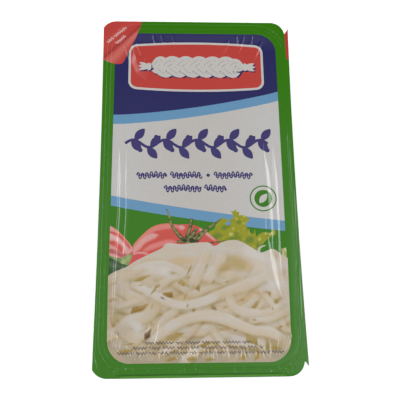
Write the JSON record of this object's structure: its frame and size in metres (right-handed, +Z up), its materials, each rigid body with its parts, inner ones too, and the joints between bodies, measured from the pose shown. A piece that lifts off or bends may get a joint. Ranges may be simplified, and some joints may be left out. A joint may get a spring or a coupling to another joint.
{
  "type": "thread cheese tray pack",
  "caption": "Shut oblong plastic tray pack of thread cheese with a wide flange and a printed peel film lid, lying on its base.",
  "frame": {"origin": "on the resting surface, under the middle of the pack", "axes": "+X across the pack, +Y along it towards the end with the peel corner, +Z up through the film lid"},
  "size_m": [0.1076, 0.2, 0.026],
  "materials": {
    "tray_plastic": "satin",
    "film": "glossy"
  },
  "bodies": {
    "root": {"tray": "tray_plastic", "lid_film": "film"}
  },
  "joints": []
}
